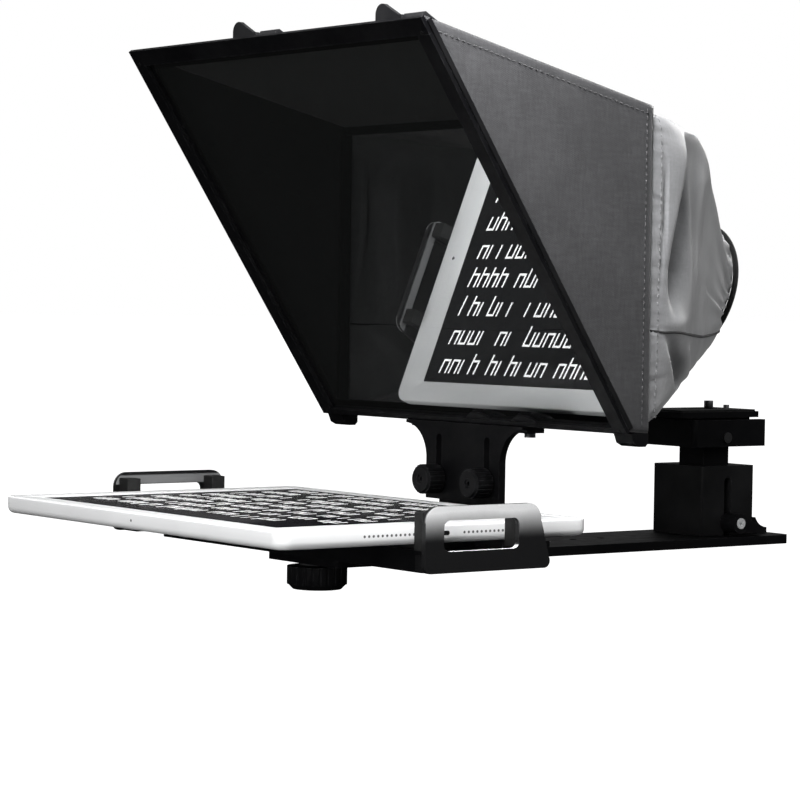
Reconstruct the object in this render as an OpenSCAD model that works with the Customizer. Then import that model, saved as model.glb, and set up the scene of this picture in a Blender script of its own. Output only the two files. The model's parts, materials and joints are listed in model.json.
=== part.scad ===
// Camera-mounted teleprompter: a leaning beam-splitter glass in a light hood, a cloth
// sleeve to the lens, a sliding tablet tray in front and a camera riser behind, all on
// one flat rail. Millimetres. +X is the tray's near side, +Y is towards the camera,
// +Z is up. The origin is the mouth of the tripod thread under the rail.

/* [Rail] */
// Length of the base rail
rail_l = 380; // [370:5:400]
// Width of the base rail
rail_w = 75; // [74:1:80]
// Thickness of the base rail
rail_t = 6; // [6:0.5:6.5]

/* [Glass frame] */
// Width across the glass frame
frame_w = 309; // [305:1:312]
// Length of the glass frame up its slope
frame_l = 282; // [280:1:284]
// Lean of the glass from the level
lean = 56; // [55:0.5:57]
// Width of the frame's face at the sides and top
face_w = 11; // [10:0.5:12]
// Width of the frame's face along the bottom
sill_face_w = 4; // [3.5:0.5:5]
// Thickness of the beam-splitter glass
glass_t = 2; // [1.5:0.1:2]

/* [Hood] */
// Y of the hood's rear edge
hood_rear_y = -47; // [-49:1:-46]
// Height of the hood's top at its rear edge
hood_rear_z = 278; // [270:1:280]
// Thickness of the hood's stiffened cloth panels
panel_t = 2; // [1.5:0.1:2]

/* [Sleeve] */
// Radius of the sleeve's mouth round the lens
mouth_r = 48; // [42:1:50]
// Height of the lens axis above the rail's underside
lens_z = 169; // [165:1:171]
// Y of the middle of the sleeve's mouth
mouth_y = 119; // [115:1:121]
// Thickness of the sleeve's cloth, as a solid
cloth_t = 1.5; // [1.2:0.1:2]

/* [Bracket] */
// Half the width of the slotted bracket
bracket_half_w = 37.5; // [37:0.5:38]
// Half the distance between the two slots
slot_half_gap = 24.5; // [24:0.5:25]
// Height of the two thumb knobs' studs
stud_z = 47; // [46:0.5:48]
// Diameter of the thumb knobs
knob_d = 19; // [16:0.5:20]

/* [Tray and tablet] */
// Y of the tray's cross arm
arm_y = -177; // [-178:1:-176]
// Tablet length, across the tray
tablet_l = 305.7; // [304:0.1:306]
// Tablet width, along the rail
tablet_w = 220.6; // [218:0.1:222]
// Tablet thickness with its back cover
tablet_t = 10.6; // [8:0.1:10.8]
// Height of the tablet's face
tablet_top_z = 35; // [34.8:0.1:35.2]
// Side of the dark screen from the tablet's short edge
bezel_x = 24.5; // [20:0.5:28]
// Side of the dark screen from the tablet's long edge
bezel_y = 14.5; // [11:0.5:18]

/* [Camera riser] */
// Y of the riser's middle
riser_y = 143.5; // [142:0.5:145]
// Side of the square riser block
block_w = 48; // [46:1:49]
// Height of the riser block's top
block_top_z = 53; // [50:1:54]
// Side of the square sliding post
post_w = 24; // [22:0.5:24]
// Underside of the quick-release clamp at its lowest
clamp_z = 66; // [65:0.5:67]

/* [Hidden] */
$fn = 48;
eps = 0.01;

// Fits
run = 0.05;          // radial clearance of a running fit
gap = 0.3;           // clearance between sliding bodies

// Frame layout
frame_y = -64;       // front lower edge of the frame
frame_z = 83.6;
lip_t = 2.5;         // thickness of the frame's face
glass_x = frame_w / 2 - 7.5;
glass_top = frame_l - 8;
glass_bottom = 2;
panel_x = frame_w / 2 - panel_t;
face_top_y = frame_y - frame_l * cos(lean) + lip_t * sin(lean);
face_top_z = frame_z + frame_l * sin(lean) + lip_t * cos(lean);
face_low_y = frame_y + lip_t * sin(lean);
face_low_z = frame_z + lip_t * cos(lean);
sill_z = 84;
sill_h = 5;
sill_y0 = -56;
sleeve_steps = 72;                // points round one section of the sleeve

// Hood clips
clip_w = 25;
clip_pin_y = -201;
clip_pin_r = 1.25;
clip_pin_z = hood_top_at(clip_pin_y) + 3.6;

// Bracket layout
plate_t = 5;
plate_y = frame_y - 1.5;          // front face of the slotted plate
plate_low_z = 34;
slot_top_z = 76;
slot_r = 2.75;
stud_r = 2.5;
screw_r = 2.5;                     // shank of the M5 screws
flare_r = 22;
flange_z = 79.6;
flange_screw_y = -51.5;
back_plate_y = plate_y + plate_t + 0.2;
back_plate_t = 4;
back_plate_top_z = 54;
foot_t = 4;
foot_y1 = -22;

// Tray layout
tablet_y = -200;
tablet_bottom_z = tablet_top_z - tablet_t;
arm_w = 50;
arm_z0 = rail_t + gap;
arm_z1 = 19;
arm_half_l = 140;
rod_r = 3;
rod_z = 12.5;
rod_half_gap = 15;
clamp_x = tablet_l / 2 + 10.5;     // inner face of a clamp's plate
clamp_t = 3.5;
clamp_top_z = 46.5;
clamp_low_z = 9;
tray_stud_r = 3.1;
key_r = 4.15;
tray_travel = 22;                  // the tray slides this far towards the glass
key_half = 4;                      // half the distance between the key's end centres
washer_low_z = -2;

// Riser layout
lever_z = 15;
riser_screw_gap = 8;               // each rail screw's distance from the riser's middle
riser_back = 20;                   // travel towards the glass
riser_forward = 8;                 // travel away from the glass
lever_stud_r = 2.5;
qr_l = 67;
qr_w = 52;
qr_h = 18;
qr_top_z = clamp_z + qr_h;
qr_seat_w = 38.4;
plate_y0 = 100;
plate_y1 = 173.5;
camera_screw_y = 147;
pin_hole_y = riser_y + 20;
button_y = 140;
button_z = 72;
button_r = 3.65;
lock_y = 146;
lock_z = 71;
lock_r = 3;

// 2D: rectangle with round corners, exact arcs
module round_rect(x, y, r) {
    square([x - 2 * r, y], center = true);
    square([x, y - 2 * r], center = true);
    for (sx = [-1, 1], sy = [-1, 1])
        translate([sx * (x / 2 - r), sy * (y / 2 - r)]) circle(r);
}

// 2D: slot with round ends along Y, from y0 to y1 between the end centres
module slot_2d(y0, y1, r) {
    translate([-r, y0]) square([2 * r, y1 - y0]);
    translate([0, y0]) circle(r);
    translate([0, y1]) circle(r);
}

// Box given by its two corners
module box(a, b) {
    translate(a) cube([b[0] - a[0], b[1] - a[1], b[2] - a[2]]);
}

// Glass frame's own axes: X across, Y up the slope, Z out of the front face
module on_glass() {
    translate([0, frame_y, frame_z]) rotate([180 - lean, 0, 0]) children();
}

// Socket-head screw standing on z = 0, its shank going down
module cap_screw(head_r, head_h, shank_r, shank_l) {
    difference() {
        cylinder(r = head_r, h = head_h);
        translate([0, 0, head_h - head_r * 0.55])
            cylinder(r = head_r * 0.52, h = head_r, $fn = 6);
    }
    translate([0, 0, -shank_l]) cylinder(r = shank_r, h = shank_l + eps);
}

// 2D: round grip with scalloped edge
module scalloped(d, count, depth) {
    difference() {
        circle(d = d, $fn = 64);
        for (i = [0 : count - 1])
            rotate(360 * i / count) translate([d / 2 + depth * 0.6, 0]) circle(depth, $fn = 16);
    }
}

function rail_thread_y() = [28, 52];
function bracket_screw_xy() = [for (x = [-22, 22], y = [-46, -30]) [x, y]];
function flange_screw_x() = [-50, -14, 14, 50];
function clip_x() = [-25, 121];
function edge_tab_x() = [15.5, 61];

// Height of the hood's top at a given Y
function hood_top_at(y) = face_top_z - (y - face_top_y) * (face_top_z - hood_rear_z)
    / (hood_rear_y - face_top_y);

// ---------------------------------------------------------------- base
module base_rail() color("#1d1d20") linear_extrude(rail_t) difference() {
    round_rect(rail_w, rail_l, 6);
    circle(r = 7);
    for (y = rail_thread_y()) translate([0, y]) circle(r = 2.6);
    for (p = bracket_screw_xy()) translate(p) circle(r = screw_r + run);
    slot_2d(arm_y - key_half - 0.2, arm_y + key_half + tray_travel + 0.2, key_r + 0.15);
    slot_2d(riser_y - riser_screw_gap - riser_back - 0.5,
            riser_y + riser_screw_gap + riser_forward + 0.5, screw_r + gap);
}

module tripod_insert() color("#c8c9cc") linear_extrude(rail_t) difference() {
    circle(r = 7);
    circle(r = 3.97);
}

module lower_bracket() color("#1d1d20") difference() {
    union() {
        box([-36, back_plate_y, rail_t], [36, back_plate_y + back_plate_t, 30]);
        box([-30, back_plate_y, rail_t], [30, back_plate_y + back_plate_t, back_plate_top_z]);
        box([-36, back_plate_y, rail_t], [36, foot_y1, rail_t + foot_t]);
        for (x = [-36, 32])
            translate([x, 0, 0]) rotate([90, 0, 90]) linear_extrude(4)
                polygon([[back_plate_y + 1, rail_t + 1], [foot_y1 - 4, rail_t + foot_t],
                         [back_plate_y + back_plate_t, 30]]);
    }
    for (s = [-1, 1])
        translate([s * slot_half_gap, back_plate_y - 1, stud_z])
            rotate([-90, 0, 0]) cylinder(r = stud_r + run, h = back_plate_t + 2);
    for (p = bracket_screw_xy())
        translate([p[0], p[1], rail_t - 1]) cylinder(r = screw_r + run, h = foot_t + 2);
}

module bracket_foot_screws() color("#8c8d90")
    for (p = bracket_screw_xy())
        translate([p[0], p[1], rail_t + foot_t])
            cap_screw(4.2, 4.5, screw_r, foot_t + rail_t - 1);

// ---------------------------------------------------------------- glass frame and hood
module slotted_bracket() color("#1d1d20") difference() {
    union() {
        translate([0, plate_y + plate_t, 0]) rotate([90, 0, 0]) linear_extrude(plate_t) {
            translate([-bracket_half_w, plate_low_z])
                square([2 * bracket_half_w, frame_z - plate_low_z]);
            for (s = [-1, 1]) difference() {
                translate([s > 0 ? bracket_half_w - 1 : -bracket_half_w - flare_r,
                           frame_z - flare_r])
                    square([flare_r + 1, flare_r]);
                translate([s * (bracket_half_w + flare_r), frame_z - flare_r - 2])
                    circle(flare_r, $fn = 96);
            }
        }
        box([-bracket_half_w - flare_r + 1, plate_y + plate_t - 1, flange_z],
            [bracket_half_w + flare_r - 1, hood_rear_y, frame_z]);
    }
    for (s = [-1, 1])
        translate([s * slot_half_gap, plate_y + plate_t + 0.1, 0]) rotate([90, 0, 0])
            linear_extrude(plate_t + 1)
                slot_2d(stud_z - 6.5, slot_top_z - slot_r, slot_r);
    for (x = flange_screw_x())
        translate([x, flange_screw_y, flange_z - 1]) cylinder(r = 2, h = 6);
}

module flange_screws() color("#8c8d90")
    for (x = flange_screw_x())
        translate([x, flange_screw_y, flange_z]) rotate([180, 0, 0])
            cap_screw(3.5, 3, 2, 7.5);

// Face strip of the frame with the rebate block behind it that holds the glass edge
module frame_top_bar() color("#141416") on_glass() difference() {
    union() {
        translate([-frame_w / 2, frame_l - face_w, -lip_t]) cube([frame_w, face_w, lip_t]);
        translate([-panel_x + 0.1, glass_top + 0.2, -5])
            cube([2 * panel_x - 0.2, 2.3, 5 - lip_t + eps]);
    }
    for (x = [-frame_w / 2 + 5.5, frame_w / 2 - 5.5])
        translate([x, frame_l - 9.6, -lip_t - 3]) cylinder(r = 1.25, h = 6);
}

module frame_bottom_bar() color("#141416") on_glass() difference() {
    union() {
        translate([-frame_w / 2, 0, -lip_t]) cube([frame_w, sill_face_w, lip_t]);
        translate([-panel_x + 0.1, 0, -7]) cube([2 * panel_x - 0.2, glass_bottom - 0.2, 7 - lip_t + eps]);
    }
    for (x = [-frame_w / 2 + 5.5, frame_w / 2 - 5.5])
        translate([x, 2, -lip_t - 5]) cylinder(r = 1, h = 9);
}

module side_bar() {
    translate([frame_w / 2 - face_w, sill_face_w, -lip_t])
        cube([face_w, frame_l - face_w - sill_face_w, lip_t]);
    translate([glass_x + 0.2, sill_face_w, -5])
        cube([panel_x - glass_x - 0.3, glass_top - sill_face_w, 5 - lip_t + eps]);
}

module frame_left_bar() color("#141416") on_glass() mirror([1, 0, 0]) side_bar();

module frame_right_bar() color("#141416") on_glass() side_bar();

module beam_splitter_glass() color("#9aa3a8", 0.35) on_glass()
    translate([-glass_x, glass_bottom, -lip_t - 0.1 - glass_t])
        cube([2 * glass_x, glass_top - glass_bottom, glass_t]);

// Four flat strips behind the glass edge
module glass_retainers() color("#202022") on_glass()
    translate([0, 0, -lip_t - 0.1 - glass_t - 1.2]) linear_extrude(1.2) {
        for (s = [-1, 1])
            translate([s * (glass_x - 4) - 4, glass_bottom + 7]) square([8, glass_top - glass_bottom - 15]);
        translate([-glass_x, glass_top - 8]) square([2 * glass_x, 7.5]);
        translate([-glass_x, glass_bottom + 0.5]) square([2 * glass_x, 6.5]);
    }

// Low wedge-shaped stops on the bottom bar that keep the glass edge in its rebate
module glass_edge_tabs() color("#141416") on_glass()
    for (x = edge_tab_x()) translate([x, sill_face_w + run, -lip_t + 0.1]) linear_extrude(2)
        polygon([[-12.5, 0], [-7, 3.2], [-3, 4], [3, 4], [7, 3.2], [12.5, 0]]);

module frame_corner_screws() color("#2b2b2e") on_glass() {
    for (x = [-frame_w / 2 + 5.5, frame_w / 2 - 5.5]) {
        translate([x, frame_l - 9.6, -lip_t + 2 * eps]) cylinder(r = 1.25, h = lip_t + 0.6);
        translate([x, 2, -lip_t - 4]) cylinder(r = 1, h = lip_t + 4.4);
    }
}

// Side outline of the hood in Y and Z, behind the frame's face
module hood_side_2d() polygon([
    [face_top_y, face_top_z],
    [hood_rear_y, hood_rear_z],
    [hood_rear_y, sill_z],
    [face_low_y, face_low_z]
]);

module hood_side_panel() translate([panel_x, 0, 0])
    rotate([90, 0, 90]) linear_extrude(panel_t) hood_side_2d();

module hood_left_panel() color("#3a3b3e") mirror([1, 0, 0]) hood_side_panel();

module hood_right_panel() color("#3a3b3e") hood_side_panel();

module hood_top_panel() color("#3a3b3e")
    translate([-panel_x + 0.1, 0, 0]) rotate([90, 0, 90])
        linear_extrude(2 * panel_x - 0.2) polygon([
            [face_top_y + 0.05, face_top_z],
            [hood_rear_y, hood_rear_z],
            [hood_rear_y, hood_rear_z - panel_t],
            [face_top_y + 1.5, face_top_z - panel_t - 0.2]
        ]);

// Cross rail under the hood's rear opening, with a lug under each end
module hood_sill() color("#141416") difference() {
    union() {
        box([-panel_x + 0.1, sill_y0, sill_z], [panel_x - 0.1, hood_rear_y, sill_z + sill_h]);
        for (s = [-1, 1])
            translate([s * (frame_w / 2 - 8), 0, 0]) rotate([90, 0, 90]) translate([0, 0, -8])
                linear_extrude(16) polygon([
                    [-60.5, sill_z - 0.2], [-58, sill_z - 6], [-54, sill_z - 8],
                    [hood_rear_y - 2, sill_z - 8], [hood_rear_y, sill_z - 6],
                    [hood_rear_y, sill_z + eps], [-56, sill_z + eps]
                ]);
    }
    for (x = flange_screw_x())
        translate([x, flange_screw_y, sill_z - 1]) cylinder(r = 2, h = 5);
}

// Stiff rim inside the rear opening that the sleeve is sewn round
module hood_rear_rim() color("#202022") {
    for (s = [-1, 1])
        translate([s > 0 ? panel_x - 3.1 : -panel_x + 0.1, hood_rear_y - 8, sill_z + sill_h])
            cube([3, 8, hood_rear_z - sill_z - sill_h - panel_t - 4]);
    translate([-panel_x + 0.1, hood_rear_y - 8, hood_rear_z - panel_t - 4])
        cube([2 * panel_x - 0.2, 8, 3.5]);
}

// One section of the sleeve: Y, middle height, half width, half height, lean and squareness
function sleeve_sections() = [
    [hood_rear_y, 182, 150, 92, 0, 14],
    [hood_rear_y + 30, 186, 133, 84, 3, 9],
    [34, 190, 108, 71, 8, 6],
    [78, 185, 76, 57, 14, 3],
    [mouth_y - 7, lens_z + 2, mouth_r + 2, mouth_r + 2, 18, 2],
    [mouth_y, lens_z, mouth_r, mouth_r, 18, 2]
];

// A number raised to a power, keeping its sign
function signed_power(v, p) = sign(v) * pow(abs(v), p);

// Point k of a section, grown outwards by t
function sleeve_point(q, k, t) =
    let (a = 360 * k / sleeve_steps,
         x = (q[2] + t) * signed_power(cos(a), 2 / q[5]),
         h = (q[3] + t) * signed_power(sin(a), 2 / q[5]))
    [x, q[0] + h * sin(q[4]), q[1] + h * cos(q[4])];

// Rings run out along the outside from the hood to the mouth and back along the inside
module camera_sleeve() color("#8d9094") {
    rings = [for (q = sleeve_sections()) [q, cloth_t],
             for (i = [len(sleeve_sections()) - 1 : -1 : 0]) [sleeve_sections()[i], 0]];
    points = [for (r = rings, k = [0 : sleeve_steps - 1]) sleeve_point(r[0], k, r[1])];
    polyhedron(points, [for (j = [0 : len(rings) - 1], k = [0 : sleeve_steps - 1])
        let (n = sleeve_steps, a = j * n, b = ((j + 1) % len(rings)) * n, m = (k + 1) % n)
        each [[a + k, b + m, a + m], [a + k, b + k, b + m]]]);
}

// Axes of the sleeve's mouth: Z out towards the camera
module sleeve_mouth() translate([0, mouth_y, lens_z]) rotate([-108, 0, 0]) children();

module sleeve_drawcord() color("#202022") sleeve_mouth()
    translate([0, 0, 1.95]) rotate_extrude($fn = 96) translate([mouth_r + 0.8, 0]) circle(1.9, $fn = 24);

module cord_lock() color("#202022") sleeve_mouth()
    translate([-mouth_r - 14.75, 0, 2.6]) rotate([0, 90, 0]) cylinder(r = 4.5, h = 12);

// ---------------------------------------------------------------- hood clips
// Upright rounded tab, foot and two pin cheeks of a clip, centred on X = 0
module clip_base() {
    foot_y0 = face_top_y + 0.6;
    foot_y1 = clip_pin_y - 4.6;
    foot_z = hood_top_at(foot_y0) + 0.1;
    half = clip_w / 2;
    translate([0, foot_y0 + 2.5, 0]) rotate([90, 0, 0]) linear_extrude(2.5) {
        translate([-half, foot_z]) square([clip_w, 2]);
        translate([-half, foot_z]) square([12, 3.5]);
        intersection() {
            translate([6 - half, foot_z + 3.4]) circle(6);
            translate([-half, foot_z]) square([12, 10]);
        }
        polygon([[8 - half, foot_z + 9], [half - 2, foot_z + 1.5], [8 - half, foot_z + 1.5]]);
    }
    translate([-half, 0, 0]) rotate([90, 0, 90]) linear_extrude(clip_w)
        polygon([[foot_y0 + 0.5, foot_z], [foot_y1, hood_top_at(foot_y1) + 0.1],
                 [foot_y1, hood_top_at(foot_y1) + 1.3], [foot_y0 + 0.5, foot_z + 1.5]]);
    for (x = [-half, half - 3])
        translate([x, 0, 0]) rotate([90, 0, 90]) linear_extrude(3) difference() {
            polygon([[foot_y1 - 2, hood_top_at(foot_y1 - 2) + 0.1],
                     [clip_pin_y + 3, hood_top_at(clip_pin_y + 3) + 0.1],
                     [clip_pin_y + 3, clip_pin_z + 1], [clip_pin_y + 1.2, clip_pin_z + 2.6],
                     [clip_pin_y - 1.6, clip_pin_z + 2.6],
                     [foot_y1 - 2, hood_top_at(foot_y1) + 1.5]]);
            translate([clip_pin_y, clip_pin_z]) circle(clip_pin_r + run, $fn = 32);
        }
}

// Wedge lever of a clip with its cross pin, centred on X = 0
module clip_lever() {
    half = clip_w / 2 - 3 - 0.25;
    tip_y = clip_pin_y + 25;
    translate([-half, 0, 0]) rotate([90, 0, 90]) linear_extrude(2 * half)
        polygon([[clip_pin_y - 3, clip_pin_z], [clip_pin_y - 2.4, clip_pin_z + 2.4],
                 [clip_pin_y, clip_pin_z + 6], [clip_pin_y + 1.5, clip_pin_z + 6.2],
                 [tip_y, hood_top_at(tip_y) + 2.2], [tip_y, hood_top_at(tip_y) + 0.6],
                 [clip_pin_y + 4, hood_top_at(clip_pin_y + 4) + 0.6],
                 [clip_pin_y - 1, clip_pin_z - 2.6]]);
    translate([-clip_w / 2 + 0.2, clip_pin_y, clip_pin_z]) rotate([0, 90, 0])
        cylinder(r = clip_pin_r, h = clip_w - 0.4);
}

module hood_clip_bases() color("#1a1a1c")
    for (x = clip_x()) translate([x, 0, 0]) clip_base();

module hood_clip_lever_left() color("#1a1a1c") translate([clip_x()[0], 0, 0]) clip_lever();

module hood_clip_lever_right() color("#1a1a1c") translate([clip_x()[1], 0, 0]) clip_lever();

// ---------------------------------------------------------------- thumb knobs
// Thumb knob on the axis x, its washer face against the slotted plate
module thumb_knob(x) translate([x, plate_y - 0.1, stud_z]) rotate([90, 0, 0]) {
    difference() {
        union() {
            translate([0, 0, 1.5]) linear_extrude(12) scalloped(knob_d, 20, 0.8);
            translate([0, 0, 13.4]) cylinder(d1 = knob_d - 1, d2 = knob_d - 3, h = 1.6, $fn = 48);
        }
        translate([0, 0, 12.5]) cylinder(r = 3.2, h = 4);
    }
    translate([0, 0, 9]) difference() {
        cylinder(r = 3.1, h = 5);
        translate([0, 0, 2.5]) cylinder(r = 1.6, h = 4, $fn = 6);
    }
    cylinder(r = 7, h = 1.6);
}

// Threaded stud behind a knob, through both plates
module knob_stud(x) color("#8c8d90") translate([x, plate_y - 0.1, stud_z])
    rotate([-90, 0, 0]) cylinder(r = stud_r, h = plate_t + 3.9);

module bracket_knob_left() color("#18181a") thumb_knob(-slot_half_gap);

module bracket_knob_right() color("#18181a") thumb_knob(slot_half_gap);

module knob_stud_left() knob_stud(-slot_half_gap);

module knob_stud_right() knob_stud(slot_half_gap);

// ---------------------------------------------------------------- tray and tablet
module tray_arm() color("#1d1d20") difference() {
    translate([0, arm_y, arm_z0]) linear_extrude(arm_z1 - arm_z0)
        round_rect(2 * arm_half_l, arm_w, 5);
    for (s = [-1, 1], k = [-1, 1])
        translate([s * arm_half_l, arm_y + k * rod_half_gap, rod_z]) rotate([0, -s * 90, 0])
            translate([0, 0, -1]) cylinder(r = rod_r + run, h = 80);
    translate([0, arm_y, arm_z0 - 1]) cylinder(r = tray_stud_r + run, h = 10);
}

// Key under the arm that keeps it square in the rail's front slot, round the stud
module tray_key() color("#8c8d90") translate([0, arm_y, 0.6]) linear_extrude(arm_z0 - 0.6)
    difference() {
        slot_2d(-key_half, key_half, key_r);
        circle(r = tray_stud_r + 0.1);
    }

module tray_pads() color("#151515")
    for (x = [-110, 0, 110])
        translate([x, arm_y, arm_z1]) linear_extrude(tablet_bottom_z - arm_z1) round_rect(44, 40, 4);

module tablet_shell() color("#e9eaec") translate([0, tablet_y, tablet_bottom_z]) difference() {
    linear_extrude(tablet_t) round_rect(tablet_l, tablet_w, 9);
    translate([0, 0, tablet_t - 0.6]) linear_extrude(2)
        square([tablet_l - 2 * bezel_x, tablet_w - 2 * bezel_y], center = true);
}

module tablet_screen() color("#0a0a0c") translate([0, tablet_y, tablet_top_z - 0.6])
    linear_extrude(0.6)
        square([tablet_l - 2 * bezel_x, tablet_w - 2 * bezel_y], center = true);

module tray_knob() color("#18181a") translate([0, arm_y, 0]) {
    translate([0, 0, -13]) linear_extrude(11) scalloped(37, 24, 1.1);
    translate([0, 0, -16]) cylinder(r1 = 15, r2 = 18, h = 3.05);
}

module tray_knob_washer() color("#8c8d90") translate([0, arm_y, washer_low_z])
    linear_extrude(-washer_low_z - 0.1) difference() {
        circle(r = 11);
        circle(r = tray_stud_r + run);
    }

// Threaded stud that stands on the knob, through the washer, rail and key into the arm
module tray_stud() color("#8c8d90") translate([0, arm_y, washer_low_z])
    cylinder(r = tray_stud_r, h = 16);

// 2D face of a tablet clamp in Y (first axis) and Z, with its window
module clamp_face_2d() difference() {
    union() {
        polygon([[-45, clamp_low_z + 4], [-45, clamp_top_z - 9], [38, clamp_top_z - 9],
                 [45, clamp_low_z + 4]]);
        translate([-36, clamp_top_z - 12]) square([65, 12]);
        for (y = [-36, 29]) translate([y, clamp_top_z - 9]) circle(9);
        translate([-41, clamp_low_z]) square([82, 6]);
        for (s = [-1, 1]) translate([s * 41, clamp_low_z + 4]) circle(4);
    }
    translate([-5, 29.8]) round_rect(54, 17.5, 4);
}

// Clamp jaw on the +X side: windowed plate and the foot that holds the rods
module clamp_jaw() {
    translate([clamp_x, arm_y, 0]) rotate([90, 0, 90]) linear_extrude(clamp_t) clamp_face_2d();
    difference() {
        box([clamp_x - 15, arm_y - 38, clamp_low_z], [clamp_x + 0.5, arm_y + 38, arm_z1 - 1]);
        for (k = [-1, 1])
            translate([clamp_x - 16, arm_y + k * rod_half_gap, rod_z]) rotate([0, 90, 0])
                cylinder(r = rod_r + run, h = 14);
    }
}

module clamp_pads()
    for (y = [-42.5, 22.5])
        box([clamp_x - 10.4, arm_y + y, 21.2], [clamp_x, arm_y + y + 10, 43]);

module clamp_rods()
    for (k = [-1, 1])
        translate([clamp_x - 75, arm_y + k * rod_half_gap, rod_z]) rotate([0, 90, 0])
            cylinder(r = rod_r, h = 73);

module clamp_near() color("#9fa1a5") clamp_jaw();

module clamp_near_pads() color("#151515") clamp_pads();

module clamp_near_rods() color("#b9babd") clamp_rods();

module clamp_far() color("#9fa1a5") mirror([1, 0, 0]) clamp_jaw();

module clamp_far_pads() color("#151515") mirror([1, 0, 0]) clamp_pads();

module clamp_far_rods() color("#b9babd") mirror([1, 0, 0]) clamp_rods();

// ---------------------------------------------------------------- riser
module riser_block() color("#222225") difference() {
    translate([0, riser_y, rail_t + gap]) linear_extrude(block_top_z - rail_t - gap)
        difference() {
            round_rect(block_w, block_w, 1.5);
            square(post_w + 0.4, center = true);
        }
    translate([0, riser_y, 0]) rotate([90, 0, 90]) linear_extrude(block_w)
        slot_2d(-post_w, 42, 3.2);
}

// Floor of the riser with a toe behind the block
module riser_foot() color("#1d1d20") difference() {
    union() {
        translate([0, riser_y, rail_t + gap]) linear_extrude(3)
            square(post_w + 0.4, center = true);
        translate([-block_w / 2 + 1.5, riser_y + block_w / 2, 0]) rotate([90, 0, 90])
            linear_extrude(block_w - 3) difference() {
                translate([0, rail_t + gap]) square([14.5, 11]);
                translate([14.5, rail_t + gap + 15.5]) circle(11.5, $fn = 96);
                translate([13.2, rail_t + gap + 4]) square([2, 8]);
            }
    }
    for (k = [-1, 1])
        translate([0, riser_y + k * riser_screw_gap, 0]) cylinder(r = screw_r + run, h = 20);
}

module riser_rail_screws() color("#8c8d90")
    for (k = [-1, 1])
        translate([0, riser_y + k * riser_screw_gap, -0.1]) rotate([180, 0, 0])
            cap_screw(4.6, 3, screw_r, 8.5);

module riser_post() color("#18181a") difference() {
    translate([0, riser_y, rail_t + gap + 3.4])
        linear_extrude(clamp_z - rail_t - gap - 3.4) round_rect(post_w, post_w, 1);
    translate([2, riser_y, lever_z]) rotate([0, 90, 0]) cylinder(r = lever_stud_r + run, h = 20);
    for (k = [-1, 1])
        translate([0, riser_y + k * 7, clamp_z - 8]) cylinder(r = screw_r + run, h = 9);
}

// Clamp body with an open-topped dovetail channel along Y
module qr_clamp() color("#18181a") difference() {
    translate([0, riser_y, clamp_z]) linear_extrude(qr_h) round_rect(qr_w, qr_l, 3);
    translate([0, riser_y - qr_l / 2 + 6, 0]) rotate([-90, 0, 0])
        linear_extrude(qr_l) polygon([
            [-qr_seat_w / 2, -qr_top_z - 1], [-qr_seat_w / 2, -qr_top_z + 1],
            [-qr_seat_w / 2 - 4, -qr_top_z + 7], [qr_seat_w / 2 + 4, -qr_top_z + 7],
            [qr_seat_w / 2, -qr_top_z + 1], [qr_seat_w / 2, -qr_top_z - 1]
        ]);
    for (k = [-1, 1]) {
        translate([0, riser_y + k * 7, clamp_z - 1]) cylinder(r = screw_r + run, h = 20);
        translate([0, riser_y + k * 7, qr_top_z - 10]) cylinder(r = 4.3, h = 6);
    }
    translate([qr_w / 2 - 5, button_y, button_z]) rotate([0, 90, 0])
        cylinder(r = button_r + run, h = 10);
    translate([-qr_w / 2 - 1, lock_y, lock_z]) rotate([0, 90, 0]) cylinder(r = lock_r + run, h = 14);
}

module qr_clamp_screws() color("#8c8d90")
    for (k = [-1, 1])
        translate([0, riser_y + k * 7, qr_top_z - 10]) cap_screw(4.2, 2.6, screw_r, 15);

// Locking lever on the riser's side: hub and tapered handle towards the rear
module post_lever() color("#18181a") translate([0, riser_y, lever_z]) rotate([90, 0, 90])
    difference() {
        union() {
            translate([0, 0, block_w / 2 + 0.4]) cylinder(r = 6.6, h = 13);
            translate([0, 0, block_w / 2 + 5]) linear_extrude(7.5) rotate(-14)
                polygon([[0, 5.6], [14, 3.6], [22, 2.6], [24, 1.4], [24, -1.4], [22, -2.6],
                         [14, -3.6], [0, -5.6]]);
        }
        translate([0, 0, block_w / 2 + 9.5]) cylinder(r = 3.6, h = 5);
    }

module post_lever_stud() color("#8c8d90") translate([6, riser_y, lever_z]) rotate([0, 90, 0])
    cylinder(r = lever_stud_r, h = block_w / 2 + 0.4 - 6);

module post_lever_screw() color("#d2d3d6") translate([0, riser_y, lever_z]) rotate([90, 0, 90])
    translate([0, 0, block_w / 2 + 9.5]) difference() {
        cylinder(r = 3.55, h = 4.4);
        translate([0, 0, 2]) cylinder(r = 1.7, h = 4, $fn = 6);
    }

// ---------------------------------------------------------------- quick release
module qr_plate() color("#18181a") difference() {
    union() {
        translate([0, (plate_y0 + plate_y1) / 2, qr_top_z + 1.4]) linear_extrude(4)
            round_rect(46, plate_y1 - plate_y0, 3);
        translate([0, riser_y - qr_l / 2 + 6.3, 0]) rotate([-90, 0, 0])
            linear_extrude(51.2) polygon([
                [-qr_seat_w / 2 + 0.4, -qr_top_z - 1.5], [-qr_seat_w / 2 + 0.4, -qr_top_z + 1],
                [-qr_seat_w / 2 - 3, -qr_top_z + 6.4], [qr_seat_w / 2 + 3, -qr_top_z + 6.4],
                [qr_seat_w / 2 - 0.4, -qr_top_z + 1], [qr_seat_w / 2 - 0.4, -qr_top_z - 1.5]
            ]);
    }
    translate([0, riser_y - 4, qr_top_z - 10]) linear_extrude(7.6) slot_2d(-12, 12, 7.2);
    translate([0, riser_y - 4, qr_top_z - 10]) linear_extrude(30) slot_2d(-12, 12, 3.4);
    translate([0, pin_hole_y, qr_top_z - 1]) cylinder(r = 2, h = 20);
}

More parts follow.
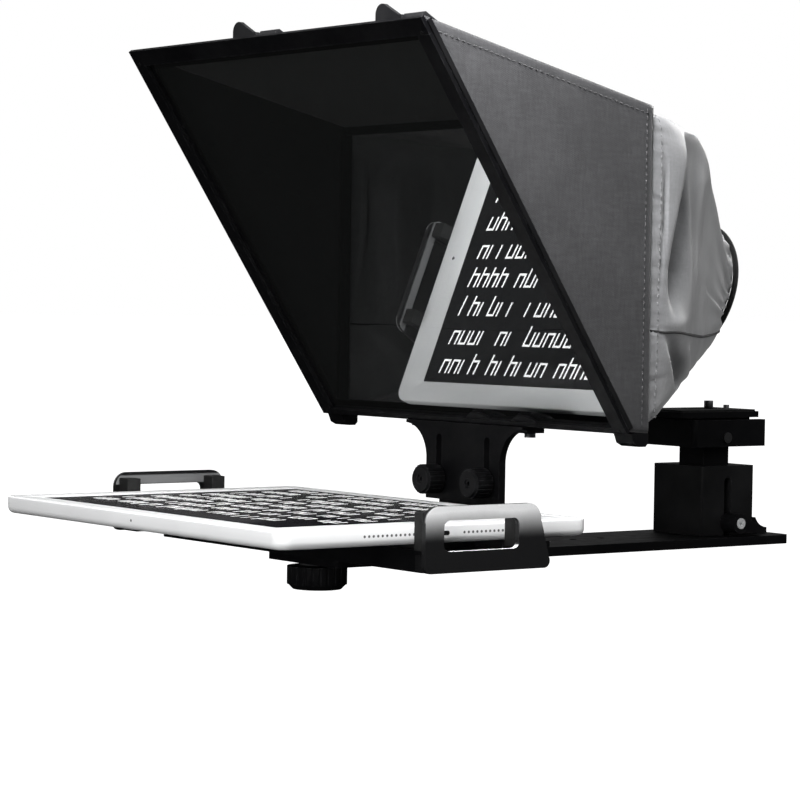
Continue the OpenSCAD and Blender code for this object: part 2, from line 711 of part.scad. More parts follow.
module qr_plate_pad() color("#101010") translate([0, 0, qr_top_z + 5.4]) linear_extrude(1.2)
    difference() {
        translate([0, (plate_y0 + plate_y1) / 2]) round_rect(42, plate_y1 - plate_y0 - 4, 2);
        translate([0, riser_y - 4]) slot_2d(-12, 12, 4.5);
        translate([0, pin_hole_y]) circle(r = 3);
    }

// Captive screw: slotted head, thin neck in the plate's slot, thread above the pad
module camera_screw() color("#c8c9cc") translate([0, camera_screw_y, 0]) difference() {
    union() {
        translate([0, 0, qr_top_z - 5.6]) cylinder(r = 6.9, h = 3.1);
        translate([0, 0, qr_top_z - 3]) cylinder(r = 2.6, h = 10);
        translate([0, 0, qr_top_z + 6.9]) cylinder(r = 3.1, h = 5.1);
    }
    translate([0, 0, qr_top_z - 6]) linear_extrude(1.8) square([1.4, 16], center = true);
}

module anti_twist_pin() color("#c8c9cc") translate([0, pin_hole_y, qr_top_z - 1])
    cylinder(r = 2, h = 10);

module qr_release_button() color("#8a8b8e") translate([qr_w / 2 - 2.6, button_y, button_z])
    rotate([0, 90, 0]) cylinder(r = button_r, h = 3.8);

module qr_lock_lever() color("#18181a") {
    translate([-qr_w / 2 - 7, lock_y, lock_z]) rotate([0, 90, 0]) cylinder(r = lock_r, h = 17);
    translate([-qr_w / 2 - 0.4, lock_y, lock_z]) rotate([90, 0, -90]) {
        cylinder(r = 6.5, h = 7);
        linear_extrude(6) polygon([[0, 5.5], [-20, 4.2], [-30, 3.4], [-32, 1.5], [-32, -1.5],
                                   [-30, -3.4], [-20, -4.2], [0, -5.5]]);
    }
}

base_rail();
tripod_insert();
lower_bracket();
bracket_foot_screws();
slotted_bracket();
flange_screws();
frame_top_bar();
frame_bottom_bar();
frame_left_bar();
frame_right_bar();
beam_splitter_glass();
glass_retainers();
glass_edge_tabs();
frame_corner_screws();
hood_left_panel();
hood_right_panel();
hood_top_panel();
hood_sill();
hood_rear_rim();
camera_sleeve();
sleeve_drawcord();
cord_lock();
hood_clip_bases();
hood_clip_lever_left();
hood_clip_lever_right();
bracket_knob_left();
bracket_knob_right();
knob_stud_left();
knob_stud_right();
tray_arm();
tray_key();
tray_pads();
tablet_shell();
tablet_screen();
tray_knob();
tray_knob_washer();
tray_stud();
clamp_near();
clamp_near_pads();
clamp_near_rods();
clamp_far();
clamp_far_pads();
clamp_far_rods();
riser_block();
riser_foot();
riser_rail_screws();
riser_post();
qr_clamp();
qr_clamp_screws();
post_lever();
post_lever_screw();
post_lever_stud();
qr_plate();
qr_plate_pad();
camera_screw();
anti_twist_pin();
qr_release_button();
qr_lock_lever();
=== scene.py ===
"""Looks of the camera-mounted teleprompter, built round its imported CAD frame.

The tablet, the glass, the hood's covers and the sleeve are made here in place of their CAD nodes. The other
nodes keep their shape and get materials and rounded edges. +X is the tray's near side, +Y is towards the
camera that the rig carries, +Z is up, all in metres.
"""
import json
import math
import random

import bmesh
import bpy
from mathutils import Matrix, Vector, noise


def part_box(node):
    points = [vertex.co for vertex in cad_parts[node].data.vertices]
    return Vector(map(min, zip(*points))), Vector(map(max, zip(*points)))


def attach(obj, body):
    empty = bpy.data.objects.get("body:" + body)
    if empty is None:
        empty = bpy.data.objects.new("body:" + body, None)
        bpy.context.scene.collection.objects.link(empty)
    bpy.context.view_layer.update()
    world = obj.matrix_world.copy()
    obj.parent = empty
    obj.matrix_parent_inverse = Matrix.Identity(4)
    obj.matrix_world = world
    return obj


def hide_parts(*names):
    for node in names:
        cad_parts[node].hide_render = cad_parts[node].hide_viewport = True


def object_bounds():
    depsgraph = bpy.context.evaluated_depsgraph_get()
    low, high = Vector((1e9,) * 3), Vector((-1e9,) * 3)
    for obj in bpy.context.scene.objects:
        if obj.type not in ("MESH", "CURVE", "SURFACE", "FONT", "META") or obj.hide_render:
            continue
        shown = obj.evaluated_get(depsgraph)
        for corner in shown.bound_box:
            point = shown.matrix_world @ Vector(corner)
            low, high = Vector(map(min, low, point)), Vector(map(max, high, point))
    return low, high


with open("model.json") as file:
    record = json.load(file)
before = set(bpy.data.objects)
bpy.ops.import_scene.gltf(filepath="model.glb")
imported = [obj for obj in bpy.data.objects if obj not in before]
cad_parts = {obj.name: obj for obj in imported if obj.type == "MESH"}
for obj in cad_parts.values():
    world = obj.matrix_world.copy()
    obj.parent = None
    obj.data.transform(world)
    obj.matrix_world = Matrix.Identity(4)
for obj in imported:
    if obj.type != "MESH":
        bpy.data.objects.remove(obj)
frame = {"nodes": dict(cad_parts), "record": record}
CAD_LOW, CAD_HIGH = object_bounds()
NODES = frame["nodes"]
SLOT_OF = {row["node"]: row["material_slot"] for row in frame["record"]["subparts"]}
MM = 0.001
GLASS_LEAN = math.radians(56)  # from the level
SIDES = (("right", 1), ("left", -1))  # each side's word in names, and its direction along X


# ---------------------------------------------------------------- node trees
class Tree:
    """Short calls that add shader nodes and link them."""

    def __init__(self, name):
        self.material = bpy.data.materials.new(name)
        self.material.use_nodes = True
        self.nodes = self.material.node_tree.nodes
        self.links = self.material.node_tree.links
        self.shader = self.nodes["Principled BSDF"]
        self.coords = self.nodes.new("ShaderNodeTexCoord").outputs["Object"]

    def put(self, socket, value):
        """Links a socket to another's output, or sets its value."""
        if isinstance(value, bpy.types.NodeSocket):
            self.links.new(value, socket)
        else:
            socket.default_value = value

    def look(self, **values):
        """Sets the shader's own sockets; underscores stand for spaces."""
        for name, value in values.items():
            if name.endswith("color") and not isinstance(value, bpy.types.NodeSocket):
                value = (*value, 1.0)
            title = " ".join(word if word == "IOR" else word.capitalize() for word in name.split("_"))
            self.put(self.shader.inputs[title], value)

    def math(self, operation, *values):
        """Result of a math node."""
        node = self.nodes.new("ShaderNodeMath")
        node.operation = operation
        for socket, value in zip(node.inputs, values):
            self.put(socket, value)
        return node.outputs[0]

    def noise(self, scale, detail=3.0, roughness=0.55, stretch=(1, 1, 1)):
        """Noise from 0 to 1; scale is features per metre."""
        mapping = self.nodes.new("ShaderNodeMapping")
        mapping.inputs["Scale"].default_value = stretch
        self.put(mapping.inputs["Vector"], self.coords)
        node = self.nodes.new("ShaderNodeTexNoise")
        self.put(node.inputs["Vector"], mapping.outputs[0])
        self.put(node.inputs["Scale"], scale)
        self.put(node.inputs["Detail"], detail)
        self.put(node.inputs["Roughness"], roughness)
        return node.outputs[0]

    def spread(self, value, low, high, to_low=0.0, to_high=1.0):
        """A value mapped from one range to another and kept inside it."""
        node = self.nodes.new("ShaderNodeMapRange")
        for socket, number in zip(node.inputs, (value, low, high, to_low, to_high)):
            self.put(socket, number)
        return node.outputs[0]

    def within(self, value, low, high, fade):
        """1 between low and high and 0 outside, with soft ends."""
        rise, fall = self.spread(value, low, low + fade), self.spread(value, high, high - fade)
        return self.math("MULTIPLY", rise, fall)

    def mix(self, share, first, second):
        """Colour between two others; share 1 is the second."""
        node = self.nodes.new("ShaderNodeMix")
        node.data_type = "RGBA"
        self.put(node.inputs[0], share)
        for socket, colour in ((node.inputs[6], first), (node.inputs[7], second)):
            self.put(socket, colour if isinstance(colour, bpy.types.NodeSocket) else (*colour, 1.0))
        return node.outputs[2]

    def axis(self, name, vector=None):
        """X, Y or Z of a vector, by default of the place on the object."""
        node = self.nodes.new("ShaderNodeSeparateXYZ")
        self.put(node.inputs[0], vector or self.coords)
        return node.outputs[name]

    def facing(self, name):
        """X, Y or Z of the surface's normal."""
        return self.axis(name, self.nodes.new("ShaderNodeNewGeometry").outputs["Normal"])

    def rough(self, pattern, least, most, low=0.3, high=0.7):
        """Roughness that follows a pattern between two values."""
        self.put(self.shader.inputs["Roughness"], self.spread(pattern, low, high, least, most))

    def bump(self, height, depth, strength=1.0):
        """Bump of the given depth in metres."""
        node = self.nodes.new("ShaderNodeBump")
        self.put(node.inputs["Strength"], strength)
        self.put(node.inputs["Distance"], depth)
        self.put(node.inputs["Height"], height)
        self.put(self.shader.inputs["Normal"], node.outputs[0])

    def edges(self, radius, low=0.0, high=0.12):
        """1 along sharp edges and 0 on flats, from how a rounded normal differs from the true one."""
        bevel = self.nodes.new("ShaderNodeBevel")
        bevel.samples = 4
        self.put(bevel.inputs["Radius"], radius)
        geometry = self.nodes.new("ShaderNodeNewGeometry")
        dot = self.nodes.new("ShaderNodeVectorMath")
        dot.operation = "DOT_PRODUCT"
        self.put(dot.inputs[0], bevel.outputs[0])
        self.put(dot.inputs[1], geometry.outputs["Normal"])
        return self.spread(self.math("SUBTRACT", 1.0, dot.outputs["Value"]), low, high)


# ---------------------------------------------------------------- kinds of surface
def grained(name, dark, light, roughness, grain=1800, depth=0.00004, wear_and_highlight=None, metallic=0.0, specular=0.5):
    """Matte coated or moulded surface: fine grain, uneven colour, and lighter edges that are partly wear and
    partly a painted edge highlight.
    """
    t = Tree(name)
    colour = t.mix(t.spread(t.noise(40, 4), 0.35, 0.7), dark, light)
    # Lighter edges: partly wear, partly a painted edge highlight.
    if wear_and_highlight:
        worn_and_highlit = t.math("MULTIPLY", t.edges(0.0005), t.spread(t.noise(260, 3), 0.45, 0.6))
        colour = t.mix(worn_and_highlit, colour, wear_and_highlight)
    t.look(base_color=colour, metallic=metallic, specular_IOR_level=specular)
    t.rough(t.noise(120, 4), roughness - 0.06, roughness + 0.08)
    t.bump(t.noise(grain, 2), depth)
    return t.material


def brushed(name, dark, light, roughness, stretch, metallic=1.0):
    """Metal with a fine brushed grain along one axis."""
    t = Tree(name)
    lines = t.noise(900, 3, stretch=stretch)
    t.look(base_color=t.mix(t.spread(lines, 0.3, 0.7), dark, light), metallic=metallic)
    t.rough(t.noise(60, 3), roughness - 0.05, roughness + 0.07)
    t.bump(lines, 0.00002)
    return t.material


def clamp_with_painted_highlight():
    """Black clamp metal with painted highlights: silver painted at the top of a clamp's outer face, fading to
    nearly black towards its foot and round its edges, and a painted highlight on the up-facing ledge at the
    window's foot.

    The heights are on the clamp itself, which runs from 0.009 to 0.0465.
    """
    # Heights of the painted highlights on the outer face and on the window's ledge.
    highlight_low, highlight_high, highlight_power = 0.0285, 0.0455, 1.9
    ledge_highlight_low, ledge_highlight_high = 0.0185, 0.0235
    lining_low, lining_high = 0.0385, 0.0448
    t = Tree("clamp_metal")
    lines = t.noise(900, 3, stretch=(1, 1, 7))
    grain = t.spread(lines, 0.3, 0.7)
    height = t.math("ADD", t.axis("Z"), t.math("MULTIPLY", t.noise(30, 3), 0.004))
    # Silver of the painted highlight; the black below is the metal's own colour.
    highlight_silver = t.mix(grain, (0.78, 0.785, 0.79), (0.88, 0.885, 0.89))
    black = t.mix(grain, (0.006, 0.006, 0.0065), (0.012, 0.012, 0.0125))
    # Painted highlight on the up-facing ledge at the window's foot.
    ledge_highlight = t.within(t.axis("Z"), ledge_highlight_low, ledge_highlight_high, 0.001)
    ledge_highlight = t.math("MULTIPLY", t.spread(t.facing("Z"), 0.15, 0.6), ledge_highlight)
    outward = t.math("MULTIPLY", t.facing("X"), t.math("SIGN", t.axis("X")))
    # Painted highlight fading down the outer face, shown only where the face looks outwards.
    face = t.math("POWER", t.spread(height, highlight_low, highlight_high), highlight_power)
    share = t.math("MAXIMUM", ledge_highlight, t.math("MULTIPLY", face, t.spread(outward, 0.05, 0.45)))
    band = t.within(t.axis("Z"), lining_low, lining_high, 0.0007)
    inner_face = t.mix(band, (0.008, 0.008, 0.0085), (0.2, 0.202, 0.205))
    colour = t.mix(t.spread(outward, -0.2, -0.6), t.mix(share, black, highlight_silver), inner_face)
    t.look(base_color=colour, metallic=t.spread(height, 0.028, 0.046, 0.1, 0.25))
    t.rough(t.noise(60, 3), 0.36, 0.48)
    t.bump(lines, 0.00002)
    return t.material


def woven(name, dark, light, pitch, roughness, sheen, depth, linen=0.0):
    """Plain-woven cloth: crossing threads, slubs and soft blotches, with uneven yarns where linen is set."""
    t = Tree(name)
    turn = 2 * math.pi / pitch
    along = t.math("ADD", t.axis("Y"), t.math("MULTIPLY", t.axis("X"), 0.35))
    up = t.math("ADD", t.axis("Z"), t.math("MULTIPLY", t.axis("X"), 0.2))
    threads = t.math("MULTIPLY", t.math("SINE", t.math("MULTIPLY", along, turn)),
                     t.math("SINE", t.math("MULTIPLY", up, turn)))
    slub = t.noise(700, 3)
    height = t.math("ADD", t.math("MULTIPLY", threads, 0.5), slub)
    blotch = t.math("MULTIPLY", t.noise(28, 5), 0.55)
    share = t.math("ADD", blotch, t.math("MULTIPLY", t.spread(height, 0.0, 1.1), 0.5))
    if linen:
        yarns = t.math("ADD", t.noise(700, 2, stretch=(1, 0.15, 1)), t.noise(700, 2, stretch=(1, 1, 0.15)))
        share = t.math("ADD", share, t.math("MULTIPLY", t.math("SUBTRACT", yarns, 1.0), linen))
    t.look(base_color=t.mix(t.spread(share, 0.3, 0.8), dark, light), sheen_weight=sheen,
           sheen_roughness=0.4, specular_IOR_level=0.35)
    t.rough(slub, roughness - 0.07, roughness + 0.07)
    t.bump(height, depth)
    return t.material


def glossy(name, colour, roughness, coat=0.0, specular=0.5, emission=0.0):
    """Smooth moulded or glass-covered surface with faint smudges."""
    t = Tree(name)
    smudge = t.spread(t.noise(18, 4), 0.35, 0.75)
    shade = tuple(c * 0.93 for c in colour)
    t.look(base_color=t.mix(smudge, colour, shade), coat_weight=coat, coat_roughness=0.08,
           specular_IOR_level=specular)
    t.rough(smudge, roughness, roughness + 0.06, 0, 1)
    if emission:
        t.look(emission_color=colour, emission_strength=emission)
    t.bump(t.noise(90, 2), 0.000006)
    return t.material


def half_mirror():
    """Part-mirrored face of the glass: a mirror that lets part of the light through, with a little dust."""
    t = Tree("glass_mirror_coat")
    t.look(base_color=(0.63, 0.643, 0.643), metallic=1.0, alpha=0.72)
    t.rough(t.spread(t.noise(70, 5), 0.62, 0.75), 0.0, 0.02, 0, 1)
    return t.material


def clear_glass():
    """Back and edges of the glass, nearly unseen."""
    t = Tree("glass_clear")
    tint = t.mix(t.noise(12, 2), (0.55, 0.62, 0.6), (0.5, 0.58, 0.56))
    t.look(base_color=tint, alpha=0.05, specular_IOR_level=0.0)
    t.rough(t.noise(30, 2), 0.05, 0.1)
    return t.material


# ---------------------------------------------------------------- materials
def grey(value, blue=None):
    """Near-neutral colour; blue is a little more than red and green where given."""
    return (value, value, value if blue is None else blue)


# By the record's material slots.
MATERIALS = {
    "black_metal": grained("black_metal", grey(0.0025, 0.003), grey(0.005, 0.0055), 0.5, 2600, 0.00002,
                           wear_and_highlight=grey(0.03, 0.032), specular=0.25),
    "riser_paint": grained("riser_paint", grey(0.007, 0.0075), grey(0.013, 0.0135), 0.45, 1400, 0.00004,
                           wear_and_highlight=grey(0.04, 0.042), specular=0.3),
    "frame_plastic": grained("frame_plastic", grey(0.004, 0.0045), grey(0.007, 0.0075), 0.6, specular=0.3),
    "clip_plastic": grained("clip_plastic", grey(0.009, 0.01), grey(0.016, 0.017), 0.4, 1200, 0.00003,
                            wear_and_highlight=grey(0.05, 0.052)),
    "knob_plastic": grained("knob_plastic", grey(0.0035, 0.004), grey(0.007, 0.0075), 0.42, 1500, 0.00003,
                            wear_and_highlight=grey(0.04, 0.042), specular=0.28),
    "black_screws": grained("black_screws", grey(0.02, 0.021), grey(0.03, 0.031), 0.35, metallic=0.7),
    "steel": brushed("steel", (0.38, 0.385, 0.4), (0.52, 0.525, 0.535), 0.3, (1, 1, 9)),
    "bright_screw": brushed("bright_screw", (0.8, 0.81, 0.82), (0.9, 0.91, 0.92), 0.25, (1, 6, 1), 0.45),
    "clamp_metal": clamp_with_painted_highlight(),
    "button_metal": brushed("button_metal", grey(0.2, 0.205), grey(0.3, 0.305), 0.4, (1, 5, 1)),
    "hood_cloth": woven("hood_cloth", grey(0.024, 0.0255), grey(0.046, 0.0485), 0.0011, 0.72, 0.35, 0.00012,
                        linen=0.5),
    "sleeve_cloth": woven("sleeve_cloth", (0.18, 0.182, 0.188), (0.26, 0.262, 0.269), 0.0009, 0.52, 0.5,
                          0.00007, linen=0.35),
    "cord": woven("cord", grey(0.01), grey(0.02), 0.0012, 0.7, 0.3, 0.0002),
    "tablet_white": glossy("tablet_white", (0.8, 0.805, 0.81), 0.28, 0.25),
    "screen": glossy("screen", grey(0.006, 0.007), 0.16, 0.0, 0.12),
    "rubber": grained("rubber", grey(0.008), grey(0.014), 0.75, 900, 0.00006),
    "glass": half_mirror(),
}
# For pieces that only Blender adds.
TEXT_GLOW = glossy("text_glow", grey(0.9), 0.25, coat=1.0, specular=0.0, emission=1.35)
# Near-black of the front lens, which is dark glass, and of the port, where it is painted shade in place of an
# opening.
DARK_HOLE = grained("dark_hole", grey(0.004), grey(0.007), 0.8)
# Grey of the button's mark and of the speaker-hole discs, where it is painted shade in place of real holes.
SPEAKER_DARK = grained("speaker_dark", grey(0.09, 0.092), grey(0.13, 0.132), 0.7)
THREAD = woven("stitch_thread", grey(0.05, 0.052), grey(0.08, 0.083), 0.0006, 0.6, 0.3, 0.0001)
PALE_THREAD = woven("sleeve_thread", grey(0.16, 0.166), grey(0.23, 0.237), 0.0006, 0.6, 0.3, 0.0001)
SEAM_DARK = woven("seam_dark", grey(0.012), grey(0.025, 0.026), 0.0008, 0.7, 0.2, 0.0001)


# ---------------------------------------------------------------- making pieces
WELD = 0.00001  # vertices closer than this are one


def put_in_scene(name, data):
    """New object for the data."""
    obj = bpy.data.objects.new(name, data)
    bpy.context.scene.collection.objects.link(obj)
    return obj


def new_piece(name, bm, body, material, smooth=True, replaces=()):
    """Turns a bmesh into a piece that rides on a body and one material or a list."""
    mesh = bpy.data.meshes.new(name)
    bmesh.ops.recalc_face_normals(bm, faces=bm.faces)
    bm.to_mesh(mesh)
    bm.free()
    obj = put_in_scene(name, mesh)
    for m in material if isinstance(material, list) else [material]:
        mesh.materials.append(m)
    if smooth:
        obj.data.shade_smooth()
    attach(obj, body)
    if replaces:
        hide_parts(*replaces)
    return obj


def soften(obj, width, segments=2, angle=32):
    """Rounds the edges sharper than angle."""
    weld = obj.modifiers.new("weld", "WELD")
    weld.merge_threshold = WELD
    bevel = obj.modifiers.new("round_edges", "BEVEL")
    bevel.width = width
    bevel.segments = segments
    bevel.limit_method = "ANGLE"
    bevel.angle_limit = math.radians(angle)
    bevel.harden_normals = True
    bevel.use_clamp_overlap = True
    return obj


def loop_of(bm, points):
    """New vertices at the points, in their order."""
    return [bm.verts.new(p) for p in points]


def bridge(bm, first, second):
    """Quads between two closed loops of the same length."""
    for i in range(len(first)):
        j = (i + 1) % len(first)
        bm.faces.new((first[i], first[j], second[j], second[i]))


def ring_round(bm, centre, u, v, radius, sides):
    """Vertices evenly spread round a circle in the plane of u and v."""
    angles = [2 * math.pi * k / sides for k in range(sides)]
    return loop_of(bm, [centre + (u * math.cos(a) + v * math.sin(a)) * radius for a in angles])


def rounded_rect(width, depth, radius, per_corner=10):
    """Points round a rectangle centred on the origin, with round corners."""
    points = []
    for turn, (sx, sy) in enumerate(((1, 1), (-1, 1), (-1, -1), (1, -1))):
        for k in range(per_corner + 1):
            a = math.pi / 2 * (turn + k / per_corner)
            points.append((sx * (width / 2 - radius) + radius * math.cos(a),
                           sy * (depth / 2 - radius) + radius * math.sin(a)))
    return points


def tube(bm, loops):
    """Solid through a run of closed loops, closed at both ends."""
    for a, b in zip(loops, loops[1:]):
        bridge(bm, a, b)
    bm.faces.new(loops[-1])
    bm.faces.new(list(reversed(loops[0])))


def sharpen(obj, angle):
    """Flat-shades across edges sharper than angle."""
    bm = bmesh.new()
    bm.from_mesh(obj.data)
    for e in bm.edges:
        if len(e.link_faces) == 2 and e.calc_face_angle(0) > math.radians(angle):
            e.smooth = False
    bm.to_mesh(obj.data)
    bm.free()


def add_disc(bm, at, normal, radius, height, sides=14):
    """Thin round plate with a chamfered rim, standing proud of a surface."""
    n = Vector(normal)
    u = n.orthogonal().normalized()
    v = n.cross(u)
    profile = ((radius, -height), (radius, height * 0.5), (radius * 0.7, height))
    tube(bm, [ring_round(bm, Vector(at) + n * h, u, v, r, sides) for r, h in profile])


def add_slot_disc(bm, at, half, radius, height, sides=8):
    """Thin plate with round ends along Y, standing proud of a face that looks along +X."""
    outline = []
    for end, start in ((1, -math.pi / 2), (-1, math.pi / 2)):
        angles = [start + math.pi * k / sides for k in range(sides + 1)]
        outline += [(end * half + radius * math.cos(a), radius * math.sin(a)) for a in angles]
    tube(bm, [loop_of(bm, [(at[0] + h, at[1] + y, at[2] + z) for y, z in outline])
              for h in (-height, height)])


def add_bar(bm, section, x0, x1):
    """Straight bar along X with the given outline in Y and Z."""
    tube(bm, [loop_of(bm, [(x, *p) for p in section]) for x in (x0, x1)])


def add_stitch(bm, at, along, up, length, radius):
    """One stitch: a short six-sided thread that dips into the cloth at both ends."""
    side = along.cross(up).normalized()
    shape = ((-0.5, 0.35, -0.5), (-0.3, 1, 0.4), (0, 1, 0.9), (0.3, 1, 0.4), (0.5, 0.35, -0.5))
    tube(bm, [ring_round(bm, at + along * (place * length) + up * (rise * radius), side, up, radius * part, 6)
              for place, part, rise in shape])


def stitches(name, points, normal_of, material, pitch=0.0042, length=0.0026, radius=0.00028):
    """Row of short raised stitches along a line of points on the glass head's cloth."""
    bm = bmesh.new()
    total, reach = 0.0, 0.0
    for a, b in zip(points, points[1:]):
        run = (b - a).length
        while reach < total + run:
            at = a.lerp(b, (reach - total) / run)
            add_stitch(bm, at, (b - a).normalized(), normal_of(at), length, radius)
            reach += pitch
        total += run
    return new_piece(name, bm, "glass_head", material)


# ---------------------------------------------------------------- tablet
DISPLAY_CORNER = 0.0012
DISPLAY_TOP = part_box("tablet_screen")[1].z - 0.0001


def tablet_ring(bm, node, inset, z, corner):
    """Rounded outline of a tablet node, drawn in from its edge, at height z."""
    low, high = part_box(node)
    size, centre = high - low, (low + high) / 2
    points = rounded_rect(size.x - 2 * inset, size.y - 2 * inset, max(corner - inset, 0.0004))
    return loop_of(bm, [(centre.x + x, centre.y + y, z) for x, y in points])


def quarter_arc(radius, steps):
    """Pairs that round off a corner, from (radius, 0) to (0, radius)."""
    angles = [math.pi / 2 * k / steps for k in range(steps + 1)]
    return [(radius * (1 - math.sin(a)), radius * (1 - math.cos(a))) for a in angles]


def make_tablet_body():
    """White shell with a rolled lower edge, a tight upper edge and a recess for the display."""
    low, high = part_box("tablet_shell")
    corner, roll, top_radius, recess_depth, recess_edge = 0.009, 0.0042, 0.0011, 0.0006, 0.00015
    bm = bmesh.new()
    profile = [(inset, low.z + rise) for inset, rise in quarter_arc(roll, 6)]
    profile += [(inset, high.z - drop) for drop, inset in quarter_arc(top_radius, 4)]
    loops = [tablet_ring(bm, "tablet_shell", inset, z, corner) for inset, z in profile]
    recess = [(0.0, high.z), (recess_edge, high.z - 0.00012), (recess_edge, high.z - recess_depth)]
    loops += [tablet_ring(bm, "tablet_screen", inset, z, DISPLAY_CORNER) for inset, z in recess]
    tube(bm, loops)
    body = new_piece("tablet_body", bm, "tray", MATERIALS["tablet_white"],
                     replaces=["tablet_shell"])
    sharpen(body, 40)

    bm = bmesh.new()
    edge = [(0.00022, high.z - recess_depth + 0.00005), (0.00022, high.z - 0.00025), (0.0005, DISPLAY_TOP)]
    tube(bm, [tablet_ring(bm, "tablet_screen", inset, z, DISPLAY_CORNER) for inset, z in edge])
    display = new_piece("tablet_display", bm, "tray", MATERIALS["screen"],
                        replaces=["tablet_screen"])
    sharpen(display, 40)


def make_tablet_openings():
    """Two rows of speaker holes with the port between them, a button's mark and the front lens, all drawn as
    thin discs on the shell; the dark of the speaker holes and of the port is painted shade in place of real
    openings.
    """
    low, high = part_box("tablet_shell")
    centre = (low + high) / 2
    hole_z = low.z + 0.55 * (high.z - low.z)
    hole_r, hole_pitch, holes, row_middle = 0.0008, 0.0031, 13, 0.035
    bm = bmesh.new()
    for middle in (-row_middle, row_middle):
        for k in range(holes):
            y = centre.y + middle + (k - (holes - 1) / 2) * hole_pitch
            add_disc(bm, (high.x, y, hole_z), (1, 0, 0), hole_r, 0.00004)
    add_disc(bm, (centre.x, low.y, hole_z), (0, -1, 0), hole_r, 0.00004)
    new_piece("speaker_holes", bm, "tray", SPEAKER_DARK, smooth=False)

    bm = bmesh.new()
    lens_r, port_half = 0.0013, 0.0045
    add_disc(bm, (low.x + 0.0122, centre.y + 0.004, high.z), (0, 0, 1), lens_r, 0.00004)
    add_slot_disc(bm, (high.x, centre.y, hole_z), port_half, 0.0013, 0.00005)
    new_piece("tablet_lens_and_port", bm, "tray", DARK_HOLE, smooth=False)


# ---------------------------------------------------------------- display text
def add_block(bm, base, x0, x1, y0, y1, slant=0.22):
    """Slanted bar from x0 to x1; y runs up the letter from the row's base, towards the tablet's front."""
    proud = 0.00004
    corners = [(x0 + slant * y0, y0), (x1 + slant * y0, y0), (x1 + slant * y1, y1), (x0 + slant * y1, y1)]
    lower, upper = (loop_of(bm, [(x, base - y, DISPLAY_TOP + lift) for x, y in corners])
                    for lift in (-proud, proud))
    bridge(bm, lower, upper)
    bm.faces.new(upper)


def add_letter(bm, base, x, width, left, x_height, stroke, kind):
    """Made-up letter: a stem of height left, mostly with a second one joined to it at the top or bottom.

    The kind is a random share: joined at the top below 0.35, at the bottom below 0.75, a lone stem above.
    """
    add_block(bm, base, x, x + stroke, 0, left)
    if kind < 0.75:
        add_block(bm, base, x + width - stroke, x + width, 0, x_height)
    if kind < 0.35:
        add_block(bm, base, x + stroke, x + width - stroke, x_height - stroke, x_height)
    if 0.35 < kind < 0.75:
        add_block(bm, base, x + stroke, x + width - stroke, 0, stroke)


def make_display_text():
    """Rows of made-up letters that stand for words, laid out to read the right way in the glass."""
    low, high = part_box("tablet_screen")
    rng = random.Random(7)
    row_pitch, x_height, tall = 0.0211, 0.0102, 0.0146
    letter, gap, space, stroke = 0.0103, 0.0024, 0.0088, 0.0015
    left_margin, right_margin, front_margin, rear_margin = 0.0135, 0.01, 0.004, 0.0069
    shortest_rag, longest_rag, tall_share = 0.012, 0.055, 0.25
    bm = bmesh.new()
    base = high.y - rear_margin
    while base - tall > low.y + front_margin:
        x = low.x + left_margin
        end = high.x - rng.uniform(shortest_rag, longest_rag)
        while x < end:
            for _ in range(rng.choice((2, 4, 5, 6, 7, 8))):
                if x + letter > high.x - right_margin:
                    break
                left = tall if rng.random() < tall_share else x_height
                add_letter(bm, base, x, letter - gap, left, x_height, stroke, rng.random())
                x += letter
            x += space
        base -= row_pitch
    new_piece("display_text", bm, "tray", TEXT_GLOW, smooth=False)


# ---------------------------------------------------------------- glass
def make_glass():
    """The pane, with its part-mirrored face towards the tablet."""
    bm = bmesh.new()
    bm.from_mesh(NODES["beam_splitter_glass"].data)
    bmesh.ops.remove_doubles(bm, verts=bm.verts, dist=WELD)
    bmesh.ops.dissolve_limit(bm, angle_limit=0.01, verts=bm.verts, edges=bm.edges)
    bmesh.ops.recalc_face_normals(bm, faces=bm.faces)
    front = Vector((0, -math.sin(GLASS_LEAN), -math.cos(GLASS_LEAN)))
    for f in bm.faces:
        f.material_index = 0 if f.normal.dot(front) > 0.9 else 1
    new_piece("mirror_glass", bm, "glass_head", [MATERIALS["glass"], clear_glass()], smooth=False,
              replaces=["beam_splitter_glass"])


# ---------------------------------------------------------------- hood
HEM = 0.006  # width of the cloth's turned hem, where its stitches run


def quad_point(quad, u, v):
    """Point of a four-cornered sheet; u runs along its first edge and v across."""
    a, b, c, d = quad
    return (a.lerp(b, u)).lerp(d.lerp(c, u), v)


